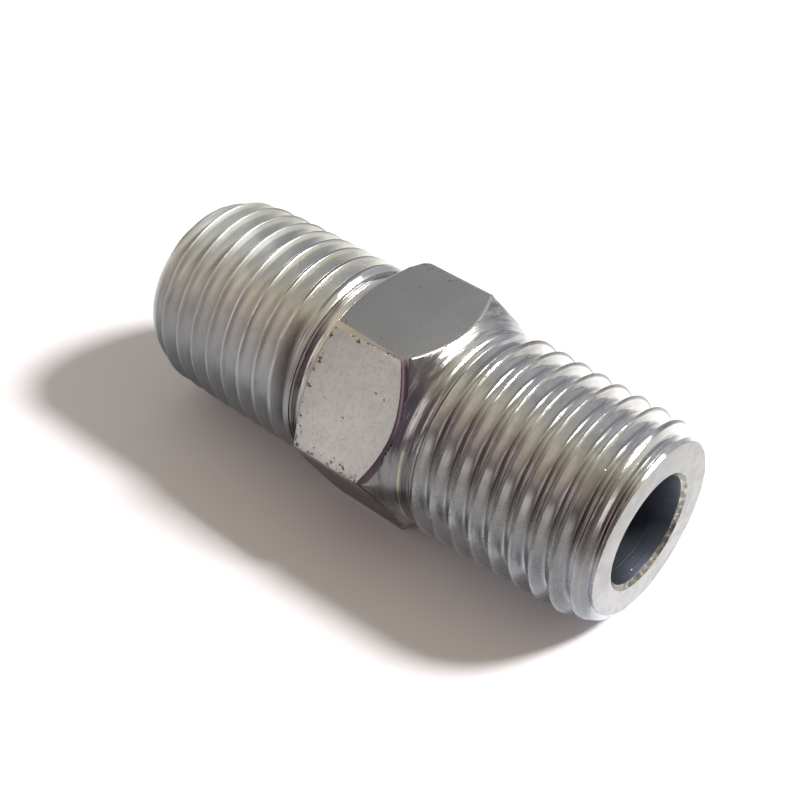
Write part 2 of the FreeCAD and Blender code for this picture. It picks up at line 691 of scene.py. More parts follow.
@dataclass
class BorePassage:
    """The bore, its mouths, and the inner part of both end faces.

    The mouth's two edges are rounded. Each rounding holds how deep a point lies past the edge, and how
    far it stands off the edge's radius.
    """

    radius: float = 3.6
    mouth: float = 0.27
    face_radius: float = 5.3
    lip_rounding: Points = ((0.0, 0.03), (0.01, 0.008), (0.03, -0.01))
    foot_rounding: Points = ((-0.02, 0.02), (0.03, 0.0))
    wall_step: float = 2.0
    wall_steps: int = 8

    def build(self) -> bmesh.types.BMesh:
        """Turn the passage from one end face to the other.

        Returns:
            A new mesh, open at face_radius on both end faces.
        """
        lip = self.radius + self.mouth
        foot = HALF_LENGTH - self.mouth
        near = [(HALF_LENGTH, self.face_radius)]
        near += [(HALF_LENGTH - depth, lip + rise) for depth, rise in self.lip_rounding]
        near += [(foot - depth, self.radius + rise) for depth, rise in self.foot_rounding]
        places = range(self.wall_steps, -self.wall_steps - 1, -1)
        inside = [(place * self.wall_step, self.radius) for place in places]
        far = [(-place, radius) for place, radius in reversed(near)]
        bm = turned(near + inside + far)
        for face in bm.faces:
            depth = HALF_LENGTH - abs(face.calc_center_median().x)
            if depth > self.mouth:
                face.material_index = Zone.BORE.value
            elif depth > PLANE_TOLERANCE:
                face.material_index = Zone.MOUTH.value
            else:
                face.material_index = Zone.END_FACE.value
        return bm


@dataclass
class Nipple:
    """The whole one-piece nipple."""

    near_thread: TaperThread
    far_thread: TaperThread
    hexagon: Hexagon
    bore: BorePassage
    sharp_angle: float = math.radians(32.0)

    def build(self) -> bmesh.types.BMesh:
        """Join the shanks, hexagon and passage into one closed mesh.

        Returns:
            The closed mesh, in millimetres.
        """
        bm = bmesh.new()
        absorb(bm, self.near_thread.build())
        far = self.far_thread.build()
        half_turn = Matrix.Rotation(math.pi, 3, "Z")
        bmesh.ops.rotate(far, verts=far.verts[:], cent=(0.0, 0.0, 0.0), matrix=half_turn)
        absorb(bm, far)
        absorb(bm, self.hexagon.build())
        absorb(bm, self.bore.build())
        close_ring(bm, self.near_thread.neck_end + SEAM_STEP, Zone.NECK)
        close_ring(bm, -self.far_thread.neck_end - SEAM_STEP, Zone.NECK)
        close_ring(bm, HALF_LENGTH, Zone.END_FACE)
        close_ring(bm, -HALF_LENGTH, Zone.END_FACE)
        bmesh.ops.recalc_face_normals(bm, faces=bm.faces[:])
        self.smooth(bm)
        loose = sum(1 for edge in bm.edges if not edge.is_manifold)
        log.info("nipple: %d faces, %d open or doubled edges", len(bm.faces), loose)
        return bm

    def smooth(self, bm: bmesh.types.BMesh) -> None:
        """Shade the faces smooth, apart from sharp edges and where one kind of surface meets another.

        Args:
            bm: The closed mesh.
        """
        for face in bm.faces:
            face.smooth = True
        for edge in bm.edges:
            zones = [face.material_index for face in edge.link_faces]
            if len(zones) == 2:
                kept = zones[0] != zones[1] and Zone.EDGE.value not in zones
                edge.smooth = not (kept or edge.calc_face_angle(0.0) > self.sharp_angle)

    def place(self, materials: Iterable[bpy.types.Material]) -> bpy.types.Object:
        """Put the finished nipple in the scene, on its CAD body.

        Args:
            materials: One material for each zone, in the zones' order.

        Returns:
            The nipple's object.
        """
        obj = stand("nipple", self.build(), materials)
        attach(obj, "root")
        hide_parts(BODY_NODE)
        return obj


# Finishes


class NodeBench:
    """Adds and wires shader nodes, so that a finish reads as a list of steps."""

    def __init__(self, tree: bpy.types.NodeTree, coordinates: str = "Object") -> None:
        """Start on a node tree.

        Args:
            tree: Node tree that receives the nodes.
            coordinates: Texture coordinates that give the place of the shaded point.
        """
        self.tree = tree
        self.where = self.add("ShaderNodeTexCoord").outputs[coordinates]

    @cached_property
    def axes(self) -> bpy.types.NodeOutputs:
        """The shaded point's place along each axis."""
        return self.add("ShaderNodeSeparateXYZ", {0: self.where}).outputs

    @cached_property
    def radius(self) -> Socket:
        """The shaded point's distance from the bore's axis."""
        flat = self.add("ShaderNodeCombineXYZ", {1: self.axes[1], 2: self.axes[2]}).outputs[0]
        return self.add("ShaderNodeVectorMath", {0: flat}, operation="LENGTH").outputs["Value"]

    @cached_property
    def past_crest(self) -> Socket:
        """How many pitches the shaded point is past its thread's crest."""
        return self.add("ShaderNodeAttribute", attribute_name=CREST_OFFSET).outputs["Fac"]

    def add(self, kind: str, inputs: dict | None = None, **settings: object) -> bpy.types.Node:
        """Add a node.

        Args:
            kind: The node's type name.
            inputs: Values or sockets for its inputs, by name or index.
            **settings: Properties of the node.

        Returns:
            The new node.
        """
        node = self.tree.nodes.new(kind)
        for name, value in settings.items():
            setattr(node, name, value)
        self.feed(node, inputs or {})
        return node

    def feed(self, node: bpy.types.Node, inputs: dict) -> None:
        """Set a node's inputs.

        Args:
            node: The node.
            inputs: Values or sockets for its inputs, by name or index.
        """
        for name, value in inputs.items():
            if isinstance(value, Socket):
                self.tree.links.new(value, node.inputs[name])
            else:
                node.inputs[name].default_value = value

    def math(self, operation: str, *values: object) -> Socket:
        """Add a Math node and return its result."""
        return self.add("ShaderNodeMath", dict(enumerate(values)), operation=operation).outputs[0]

    def product(self, first: Socket, *others: object) -> Socket:
        """Multiply values.

        Args:
            first: The first value.
            *others: The other values.

        Returns:
            Their product.
        """
        for other in others:
            first = self.math("MULTIPLY", first, other)
        return first

    def mix(self, share: object, first: object, second: object) -> Socket:
        """Mix two colours through the Mix node's colour sockets and return the result."""
        node = self.add("ShaderNodeMix", {0: share, 6: first, 7: second}, data_type="RGBA")
        return node.outputs[2]

    def towards(self, direction: tuple[float, float, float]) -> Socket:
        """Measure how far the shaded point lies in a direction."""
        inputs = {0: self.where, 1: direction}
        return self.add("ShaderNodeVectorMath", inputs, operation="DOT_PRODUCT").outputs["Value"]

    def noise(self, scale: float, detail: float, stretch: float = 1.0) -> Socket:
        """Add a Noise texture.

        Args:
            scale: Scale of the noise.
            detail: Number of finer layers.
            stretch: How much closer the noise is along the bore than across it.

        Returns:
            The noise's value.
        """
        where = self.where
        if stretch != 1.0:
            closer = {0: where, 1: (stretch, 1.0, 1.0)}
            where = self.add("ShaderNodeVectorMath", closer, operation="MULTIPLY").outputs[0]
        inputs = {"Vector": where, "Scale": scale, "Detail": detail, "Roughness": 0.6}
        return self.add("ShaderNodeTexNoise", inputs).outputs[0]

    def rings(self, distance: Socket, scale: float) -> Socket:
        """Add fine rings, as a turning tool leaves them at each distance."""
        inputs = {"W": distance, "Scale": scale, "Detail": 2.0}
        return self.add("ShaderNodeTexNoise", inputs, noise_dimensions="1D").outputs[0]

    def dots(self, scale: float, levels: tuple[float, float]) -> Socket:
        """Add scattered round dots, which fade between two distances from their centres."""
        cells = self.add("ShaderNodeTexVoronoi", {"Vector": self.where, "Scale": scale})
        return self.ramp(cells.outputs["Distance"], *levels)

    def ramp(
        self, value: object, low: float, high: float, to_low: float = 0.0, to_high: float = 1.0
    ) -> Socket:
        """Carry a value from one range to another, held at its ends, and return the result."""
        return self.add("ShaderNodeMapRange", {0: value, 1: low, 2: high, 3: to_low, 4: to_high}).outputs[0]

    def tones(self, value: object, stops: Iterable[tuple[float, Tone]]) -> Socket:
        """Turn a value into colours, along straight spans between tones.

        Args:
            value: The value.
            stops: Values and their tones, from low to high.

        Returns:
            The colour.
        """
        stops = tuple(stops)
        low, high = stops[0][0], stops[-1][0]
        node = self.add("ShaderNodeValToRGB", {0: self.ramp(value, low, high)})
        elements = node.color_ramp.elements
        while len(elements) < len(stops):
            elements.new(1.0)
        for element, (place, tone) in zip(elements, stops):
            element.position = (place - low) / (high - low)
            element.color = (*tone, 1.0)
        return node.outputs[0]

    def curve(self, value: object, points: Points) -> Socket:
        """Carry a value along straight spans between points, and return the result."""
        return self.tones(value, ((place, (level,) * 3) for place, level in points))

    def area(self, *edges: "Fade | Band", share: float = 1.0) -> Socket:
        """Bound a soft-edged area.

        Args:
            *edges: The fades and bands that bound it.
            share: The area's strength where all of them are full.

        Returns:
            The area's strength.
        """
        first, *others = edges
        return self.product(first.level(self, share), *(edge.level(self, 1.0) for edge in others))


@dataclass(frozen=True)
class Fade:
    """A share that grows from its floor at one place to one at another, both in millimetres."""

    way: Way
    start: float
    full: float
    floor: float = 0.0

    def level(self, bench: NodeBench, share: float) -> Socket:
        """Make the fade.

        Args:
            bench: Bench on the material's nodes.
            share: What the fade grows to.

        Returns:
            The fade's share at the shaded point.
        """
        if self.way is Way.OUT:
            place = bench.math("ABSOLUTE", bench.axes[Way.ALONG.value])
        else:
            place = bench.axes[self.way.value]
        return bench.ramp(place, self.start * METRES, self.full * METRES, self.floor * share, share)


@dataclass(frozen=True)
class Band:
    """A share that is full in a ring round the nipple, and fades out at the ring's reach."""

    middle: float
    reach: float
    solid: float = 0.7

    def level(self, bench: NodeBench, share: float) -> Socket:
        """Make the band.

        Args:
            bench: Bench on the material's nodes.
            share: What the band is where it is full.

        Returns:
            The band's share at the shaded point.
        """
        place = bench.axes[Way.ALONG.value]
        away = bench.math("ABSOLUTE", bench.math("SUBTRACT", place, self.middle * METRES))
        reach = self.reach * METRES
        return bench.ramp(away, self.solid * reach, reach, share, 0.0)


@dataclass(frozen=True)
class Shade:
    """A tone mixed in over one area of a surface.

    On a thread, section_curve says how much of it each part of the section gets: pitches past the crest,
    and the share there. The area in spared is left as it is.
    """

    tone: Tone
    share: float
    area: tuple[Fade | Band, ...]
    section_curve: Points = ()
    spared: tuple[Fade | Band, ...] = ()


@dataclass(frozen=True)
class Patches:
    """Patches of another tone, where a noise passes from one level to another."""

    tone: Tone
    share: float
    scale: float
    detail: float
    levels: tuple[float, float]
    stretch: float = 1.0


@dataclass
class Surface:
    """Colour, roughness and bump height of a finish while its marks are added."""

    bench: NodeBench
    colour: Socket
    rough: Socket
    height: Socket

    def tint(self, share: object, tone: Tone) -> None:
        """Mix a tone into the colour."""
        self.colour = self.bench.mix(share, self.colour, (*tone, 1.0))

    def roughen(self, amount: Socket) -> None:
        """Add to the roughness."""
        self.rough = self.bench.math("ADD", self.rough, amount)

    def raise_by(self, amount: Socket) -> None:
        """Add to the bump height."""
        self.height = self.bench.math("ADD", self.height, amount)

    def shade(self, shade: Shade) -> None:
        """Mix a shade into the colour.

        Args:
            shade: The shade.
        """
        bench = self.bench
        share = bench.area(*shade.area, share=shade.share)
        if shade.section_curve:
            share = bench.product(share, bench.curve(bench.past_crest, shade.section_curve))
        if shade.spared:
            share = bench.product(share, bench.math("SUBTRACT", 1.0, bench.area(*shade.spared)))
        self.tint(share, shade.tone)

    def patch(self, patches: Patches) -> Socket:
        """Mix patches into the colour.

        Args:
            patches: The patches.

        Returns:
            The patches' share at the shaded point.
        """
        clouds = self.bench.noise(patches.scale, patches.detail, patches.stretch)
        share = self.bench.ramp(clouds, *patches.levels, 0.0, patches.share)
        self.tint(share, patches.tone)
        return share


def new_material(name: str) -> tuple[bpy.types.Material, bpy.types.Node, NodeBench]:
    """Start a material.

    Args:
        name: The material's name.

    Returns:
        The material, its shader and a bench on its nodes.
    """
    material = bpy.data.materials.new(name)
    material.use_nodes = True
    return material, material.node_tree.nodes["Principled BSDF"], NodeBench(material.node_tree)


@dataclass(frozen=True)
class PlatedSteel:
    """Bright zinc plate over steel. Each way of making a surface adds its own marks, and the shades add
    painted light and painted shade.
    """

    name: str
    colour: Tone
    stain: Tone = (0.64, 0.62, 0.61)
    stain_share: float = 0.5
    stain_scale: float = 320.0
    stain_levels: tuple[float, float] = (0.45, 0.70)
    roughness: float = 0.20
    roughness_swing: float = 0.05
    roughness_levels: tuple[float, float] = (0.3, 0.7)
    roughened: tuple[tuple[float, Fade], ...] = ()
    grain_bump: float = 0.1
    grain_scale: float = 2600.0
    bump_distance: float = 2e-5
    shades: tuple[Shade, ...] = ()

    def material(self) -> bpy.types.Material:
        """Build the material.

        Returns:
            The new material.
        """
        material, shader, bench = new_material(self.name)
        clouds = bench.noise(self.stain_scale, detail=4.0)
        stained = bench.ramp(clouds, *self.stain_levels, 0.0, self.stain_share)
        low, high = self.roughness - self.roughness_swing, self.roughness + self.roughness_swing
        surface = Surface(
            bench,
            colour=bench.mix(stained, (*self.colour, 1.0), (*self.stain, 1.0)),
            rough=bench.ramp(clouds, *self.roughness_levels, low, high),
            height=bench.product(bench.noise(self.grain_scale, detail=3.0), self.grain_bump),
        )
        for amount, fade in self.roughened:
            surface.roughen(fade.level(bench, amount))
        self.mark(surface)
        bump = {"Height": surface.height, "Strength": 1.0, "Distance": self.bump_distance}
        inputs = {
            "Base Color": surface.colour,
            "Roughness": surface.rough,
            "Normal": bench.add("ShaderNodeBump", bump).outputs[0],
            "Metallic": 1.0,
        }
        bench.feed(shader, inputs)
        return material

    def mark(self, surface: Surface) -> None:
        """Mix in the shades, which are painted light and painted shade."""
        for shade in self.shades:
            surface.shade(shade)


@dataclass(frozen=True)
class TurnedSteel(PlatedSteel):
    """Turned surface: rings from the tool."""

    ring_bump: float = 0.6
    ring_scale: float = 6000.0

    def mark(self, surface: Surface) -> None:
        """Add the tool's rings and the shades.

        Args:
            surface: The surface that receives the marks.
        """
        bench = surface.bench
        surface.raise_by(bench.product(bench.rings(bench.axes[0], self.ring_scale), self.ring_bump))
        super().mark(surface)


@dataclass(frozen=True)
class NeckSteel(TurnedSteel):
    """Turned neck: dark streaks round it, and bright streaks of painted highlight, stronger on top."""

    streak_tone: Tone = (0.92, 0.90, 0.86)
    dim_tone: Tone = (0.16, 0.15, 0.16)
    streak_share: float = 0.6
    streak_scale: float = 420.0
    streak_stretch: float = 9.0
    streak_bump: float = 1.6
    bright_levels: tuple[float, float] = (0.53, 0.68)
    dim_levels: tuple[float, float] = (0.46, 0.34)
    top_highlight_fade: Fade = Fade(Way.UP, 4.2, 6.0, 0.35)

    def mark(self, surface: Surface) -> None:
        """Add the streaks.

        Args:
            surface: The surface that receives the marks.
        """
        super().mark(surface)
        bench = surface.bench
        streaks = bench.noise(self.streak_scale, detail=3.0, stretch=self.streak_stretch)
        # Bright streaks of painted highlight, stronger on top.
        bright = bench.ramp(streaks, *self.bright_levels, 0.0, self.streak_share)
        surface.tint(bench.product(bright, bench.area(self.top_highlight_fade)), self.streak_tone)
        surface.tint(bench.ramp(streaks, *self.dim_levels, 0.0, self.streak_share), self.dim_tone)
        surface.raise_by(bench.product(streaks, self.streak_bump))


@dataclass(frozen=True)
class BoreSteel(TurnedSteel):
    """Bore wall: dull, with a few specks of plate that come in groups."""

    speck_tone: Tone = (0.90, 0.92, 0.95)
    speck_scale: float = 2200.0
    speck_size: tuple[float, float] = (0.14, 0.06)
    group_scale: float = 500.0
    group_levels: tuple[float, float] = (0.57, 0.61)

    def mark(self, surface: Surface) -> None:
        """Scatter the specks.

        Args:
            surface: The surface that receives the marks.
        """
        super().mark(surface)
        bench = surface.bench
        groups = bench.ramp(bench.noise(self.group_scale, detail=2.0), *self.group_levels)
        specks = bench.product(bench.dots(self.speck_scale, self.speck_size), groups)
        surface.tint(specks, self.speck_tone)


@dataclass(frozen=True)
class ThreadSteel(PlatedSteel):
    """Cut thread: grooves darkened by painted shade and dirt, crests darkened away from the front by wear
    and painted shade, and beads of plate along its edges.

    crest_band holds the pitches past the crest where its darkening begins, is full, ebbs and ends.
    """

    groove_shade_and_dirt_tone: Tone = (0.16, 0.12, 0.125)
    groove_shade_and_dirt_share: float = 0.10
    root_levels: tuple[float, float] = (0.30, 0.56)
    smear: float = 0.12
    smear_scale: float = 700.0
    crest_wear_and_shade_tone: Tone = (0.20, 0.20, 0.22)
    crest_share: float = 0.78
    crest_fade: Fade = Fade(Way.BACK, 0.2, 2.0)
    crest_band: tuple[float, float, float, float] = (-0.08, -0.05, 0.065, 0.095)
    crest_roughness: float = 0.15
    streaks: Patches = Patches((0.52, 0.50, 0.49), 0.35, 480.0, 3.0, (0.50, 0.68), 7.0)
    streak_bump: float = 1.2
    bead_bump: float = 1.2
    bead_scale: float = 1300.0
    bead_reach: tuple[float, float] = (0.04, 0.10)
    flank_beads: float = 0.12
    burr_bump: float = 1.5
    burr_scale: float = 800.0
    burr_size: tuple[float, float] = (0.07, 0.0)
    drag_bump: float = 0.25
    drag_scale: float = 7000.0

    def mark(self, surface: Surface) -> None:
        """Paint shade and dirt into the grooves, darken the crests with wear and painted shade, and bead
        the edges.

        Args:
            surface: The surface that receives the marks.
        """
        bench = surface.bench
        away = bench.math("ABSOLUTE", bench.past_crest)
        # Painted shade and dirt in the grooves: darker the deeper a point lies below its crest.
        smear = bench.product(bench.noise(self.smear_scale, detail=3.0), self.smear)
        root = bench.ramp(bench.math("ADD", away, smear), *self.root_levels, 0.0, self.groove_shade_and_dirt_share)
        surface.tint(root, self.groove_shade_and_dirt_tone)
        super().mark(surface)
        # Crests darkened away from the front: partly wear, partly painted shade.
        begins, full, ebbs, ends = self.crest_band
        worn_and_shaded = bench.product(
            bench.ramp(bench.past_crest, begins, full),
            bench.ramp(bench.past_crest, ebbs, ends, 1.0, 0.0),
            bench.area(self.crest_fade, share=self.crest_share),
        )
        surface.tint(worn_and_shaded, self.crest_wear_and_shade_tone)
        surface.roughen(bench.product(worn_and_shaded, self.crest_roughness))
        streaks = bench.product(surface.patch(self.streaks), self.streak_bump)
        beads = bench.product(bench.noise(self.bead_scale, detail=1.0), self.bead_bump)
        near_crest = bench.ramp(away, *self.bead_reach, 1.0, self.flank_beads)
        surface.raise_by(bench.product(bench.math("ADD", beads, streaks), near_crest))
        surface.raise_by(bench.product(bench.dots(self.burr_scale, self.burr_size), self.burr_bump))
        surface.raise_by(bench.product(bench.rings(bench.axes[0], self.drag_scale), self.drag_bump))


@dataclass(frozen=True)
class FlatSteel(PlatedSteel):
    """Drawn flats of the hexagon: mottled, pitted, and bruised along their edges.

    The edges lie on cones about the axis. near_rim, far_rim and corner hold where their bruises begin
    and are full, as millimetres of radius on such a cone.
    """

    mottle: tuple[Patches, ...] = (
        Patches((0.83, 0.785, 0.775), 0.55, 1100.0, 6.0, (0.42, 0.66)),
        Patches((0.66, 0.64, 0.63), 0.40, 3600.0, 5.0, (0.48, 0.64)),
    )
    pit_tone: Tone = (0.06, 0.05, 0.06)
    pit_scale: float = 2300.0
    pit_levels: tuple[float, float] = (0.66, 0.71)
    pit_shares: tuple[float, float] = (0.85, 0.35)
    pit_depth: float = 1.2
    top: tuple[float, float] = (7.0, 7.1)
    bruise: float = 0.14
    near_bruise: float = 0.6
    near_rim: tuple[float, float] = (10.35, 10.90)
    far_rim: tuple[float, float] = (11.9, 12.7)
    far_slope: float = 1.732
    corner: tuple[float, float] = (7.85, 8.2)

    def bruised(self, bench: NodeBench) -> Socket:
        """Measure how much a point is bruised by the edge beside it.

        Args:
            bench: Bench on the material's nodes.

        Returns:
            The share, full at the edges.
        """
        near = bench.math("ADD", bench.axes[0], bench.radius)
        near = bench.ramp(near, *metres(self.near_rim), 0.0, self.near_bruise)
        far = bench.math("ADD", bench.product(bench.axes[0], -self.far_slope), bench.radius)
        far = bench.ramp(far, *metres(self.far_rim))
        corner = bench.ramp(bench.radius, *metres(self.corner))
        return bench.math("MAXIMUM", bench.math("MAXIMUM", near, far), corner)

    def mark(self, surface: Surface) -> None:
        """Mottle the flats, and pit them more towards their edges.

        Args:
            surface: The surface that receives the marks.
        """
        for patches in self.mottle:
            surface.patch(patches)
        super().mark(surface)
        bench = surface.bench
        bruised = bench.product(self.bruised(bench), self.bruise)
        pits = bench.math("ADD", bench.noise(self.pit_scale, detail=5.0), bruised)
        pits = bench.ramp(pits, *self.pit_levels)
        share = bench.ramp(bench.axes[2], *metres(self.top), *self.pit_shares)
        pits = bench.product(pits, share)
        surface.tint(pits, self.pit_tone)
        surface.raise_by(bench.product(pits, -self.pit_depth))


@dataclass(frozen=True)
class FaceSteel(PlatedSteel):
    """Faced-off end: faint rings about the bore, a mottle, and nicks towards its two edges."""

    mottle: Patches = Patches((0.36, 0.36, 0.37), 0.42, 1100.0, 5.0, (0.45, 0.62))
    nick_tone: Tone = (0.22, 0.22, 0.24)
    nick_share: float = 0.6
    nick_scale: float = 1900.0
    nick_levels: tuple[float, float] = (0.66, 0.72)
    middle_radius: float = 4.9
    edge_reach: tuple[float, float] = (0.5, 1.0)
    edge_nicks: float = 0.07
    ring_scale: float = 9000.0
    ring_bump: float = 0.25

    def mark(self, surface: Surface) -> None:
        """Add the facing tool's rings and scattered nicks.

        Args:
            surface: The surface that receives the marks.
        """
        super().mark(surface)
        surface.patch(self.mottle)
        bench = surface.bench
        off = bench.math("SUBTRACT", bench.radius, self.middle_radius * METRES)
        off = bench.math("ABSOLUTE", off)
        edge = bench.ramp(off, *metres(self.edge_reach), 0.0, self.edge_nicks)
        nicks = bench.math("ADD", edge, bench.noise(self.nick_scale, detail=5.0))
        nicks = bench.ramp(nicks, *self.nick_levels)
        surface.tint(bench.product(nicks, self.nick_share), self.nick_tone)
        rings = bench.product(bench.rings(bench.radius, self.ring_scale), self.ring_bump)
        surface.raise_by(bench.math("SUBTRACT", rings, nicks))


# The studio


def stage_mirrored(name: str, bm: bmesh.types.BMesh, material: bpy.types.Material) -> None:
    """Stand a piece in the studio that shows only in the plate's reflections.

    Args:
        name: The piece's name.
        bm: Its mesh in millimetres, freed here.
        material: Its material.
    """
    piece = stand(name, bm, [material])
    piece.visible_camera = False
    piece.visible_diffuse = False
    piece.visible_shadow = False


@dataclass(frozen=True)
class Card:
    """A glowing card that faces the nipple and fades towards its rim."""

    name: str
    centre: tuple[float, float, float]
    along: tuple[float, float, float]
    length: float
    width: float
    glow: float
    even_share: float
    tint: Tone = (1.0, 1.0, 1.0)

    def material(self) -> bpy.types.Material:
        """Build the card's glow.

        Returns:
            The new material.
        """
        material, shader, bench = new_material(self.name)
        middle = (Vector(self.centre) * METRES)[:]
        inputs = {0: bench.where, 1: middle}
        away = bench.add("ShaderNodeVectorMath", inputs, operation="DISTANCE").outputs["Value"]
        half = self.length / 2.0 * METRES
        inputs = {
            "Base Color": (0.0, 0.0, 0.0, 1.0),
            "Specular IOR Level": 0.0,
            "Emission Color": (*self.tint, 1.0),
            "Emission Strength": bench.ramp(away, self.even_share * half, half, self.glow, 0.0),
        }
        bench.feed(shader, inputs)
        return material

    def stage(self) -> None:
        """Stand the card in the studio."""
        bm = bmesh.new()
        bmesh.ops.create_grid(bm, x_segments=1, y_segments=1, size=0.5)
        bmesh.ops.scale(bm, vec=(self.length, self.width, 1.0), verts=bm.verts[:])
        facing = Vector(self.centre).normalized()
        across = facing.cross(Vector(self.along)).normalized()
        turn = Matrix((across.cross(facing), across, facing)).transposed()
        bmesh.ops.rotate(bm, verts=bm.verts[:], matrix=turn)
        bmesh.ops.translate(bm, verts=bm.verts[:], vec=self.centre)
        stage_mirrored(self.name, bm, self.material())


@dataclass(frozen=True)
class MirroredPaper:
    """The paper as the plate mirrors it, in painted light: painted shade dims it in front and far away, and
    a painted glow brightens it behind.

    right holds where the dim front begins to darken and is darkest, and far does so for the back.
    """

    lift: float = 0.03
    tone: float = 0.80
    far_tone: float = 0.36
    front_tone: float = 0.32
    right_tone: float = 0.13
    back_glow: float = 0.12
    front: tuple[Fade, ...] = (Fade(Way.BACK, -6.5, -9.5),)
    beside: tuple[Fade, ...] = (Fade(Way.ALONG, 13.0, 18.0), Fade(Way.BACK, -2.5, -4.5))
    right: tuple[float, float] = (14.0, 40.0)
    far: tuple[float, float] = (28.0, 90.0)
    glowing: tuple[Fade, ...] = (Fade(Way.BACK, 12.0, 18.0), Fade(Way.BACK, 55.0, 40.0))

    def material(self) -> bpy.types.Material:
        """Build the paper's tones.

        Returns:
            The new material.
        """
        material, shader, bench = new_material("mirrored paper")
        # Painted shade in front, to the right and far away, and a painted glow behind.
        front = bench.math("MAXIMUM", bench.area(*self.front), bench.area(*self.beside))
        dim = bench.ramp(bench.axes[0], *metres(self.right), self.front_tone, self.right_tone)
        back = bench.ramp(bench.axes[1], *metres(self.far), self.tone, self.far_tone)
        rest = bench.product(bench.math("SUBTRACT", 1.0, front), back)
        tone = bench.math("ADD", bench.product(front, dim), rest)
        inputs = {
            "Base Color": bench.add("ShaderNodeCombineColor", {0: tone, 1: tone, 2: tone}).outputs[0],
            "Emission Strength": bench.area(*self.glowing, share=self.back_glow),
            "Emission Color": (1.0, 1.0, 1.0, 1.0),
            "Roughness": 1.0,
            "Specular IOR Level": 0.0,
        }
        bench.feed(shader, inputs)
        return material

    def stage(self, floor_height: float, floor_size: float) -> None:
        """Lay the paper just over the floor.

        Args:
            floor_height: Height of the floor.
            floor_size: Length of its sides.
        """
        bm = bmesh.new()
        bmesh.ops.create_grid(bm, x_segments=1, y_segments=1, size=floor_size / 2.0)
        bmesh.ops.translate(bm, verts=bm.verts[:], vec=(0.0, 0.0, floor_height + self.lift))
        stage_mirrored("mirrored_paper", bm, self.material())


@dataclass(frozen=True)
class Room:
    """What the plate mirrors besides the lamp: the room's tones, the paper and two cards.

    The room's tones change along its slant. A brighter panel lies about its own direction, and ends
    at one side.
    """

    slant: tuple[float, float, float] = (-0.35, 1.0, 0.30)
    tones: tuple[tuple[float, Tone], ...] = (
        (-0.60, (0.25, 0.205, 0.22)),
        (-0.35, (0.36, 0.305, 0.29)),
        (-0.05, (0.55, 0.48, 0.39)),
        (0.40, (0.60, 0.575, 0.455)),
        (0.85, (0.43, 0.43, 0.43)),
        (1.05, (0.50, 0.51, 0.55)),
    )
    brightness: float = 0.88
    panel: tuple[float, float, float] = (0.102, -0.820, 0.563)
    panel_tone: Tone = (1.20, 1.09, 0.99)
    panel_edge: tuple[float, float] = (0.89, 0.965)
    panel_side: tuple[float, float] = (0.32, 0.16)
    paper: MirroredPaper = MirroredPaper()
    cards: tuple[Card, ...] = (
        Card(
            name="pale_card",
            centre=(-60.0, -110.0, 9.0),
            along=(0.0, 0.0, 1.0),
            length=90.0,
            width=90.0,
            glow=0.82,
            even_share=0.2,
            tint=(1.0, 0.96, 0.935),
        ),
        Card(
            name="long_card",
            centre=(229.0, 169.0, 282.0),
            along=(0.26, -0.785, 0.26),
            length=350.0,
            width=34.0,
            glow=9.0,
            even_share=0.65,
        ),
    )

    def world(self) -> bpy.types.World:
        """Build the surrounding as smooth tones over the sky's directions.

        Returns:
            The new world.
        """
        world = bpy.data.worlds.new("room")
        world.use_nodes = True
        bench = NodeBench(world.node_tree, "Generated")
        tone = bench.tones(bench.towards(self.slant), self.tones)
        panel = bench.product(
            bench.ramp(bench.towards(self.panel), *self.panel_edge),
            bench.ramp(bench.axes[0], *self.panel_side),
        )
        tone = bench.mix(panel, tone, (*self.panel_tone, 1.0))
        bench.feed(world.node_tree.nodes["Background"], {0: tone, 1: self.brightness})
        return world


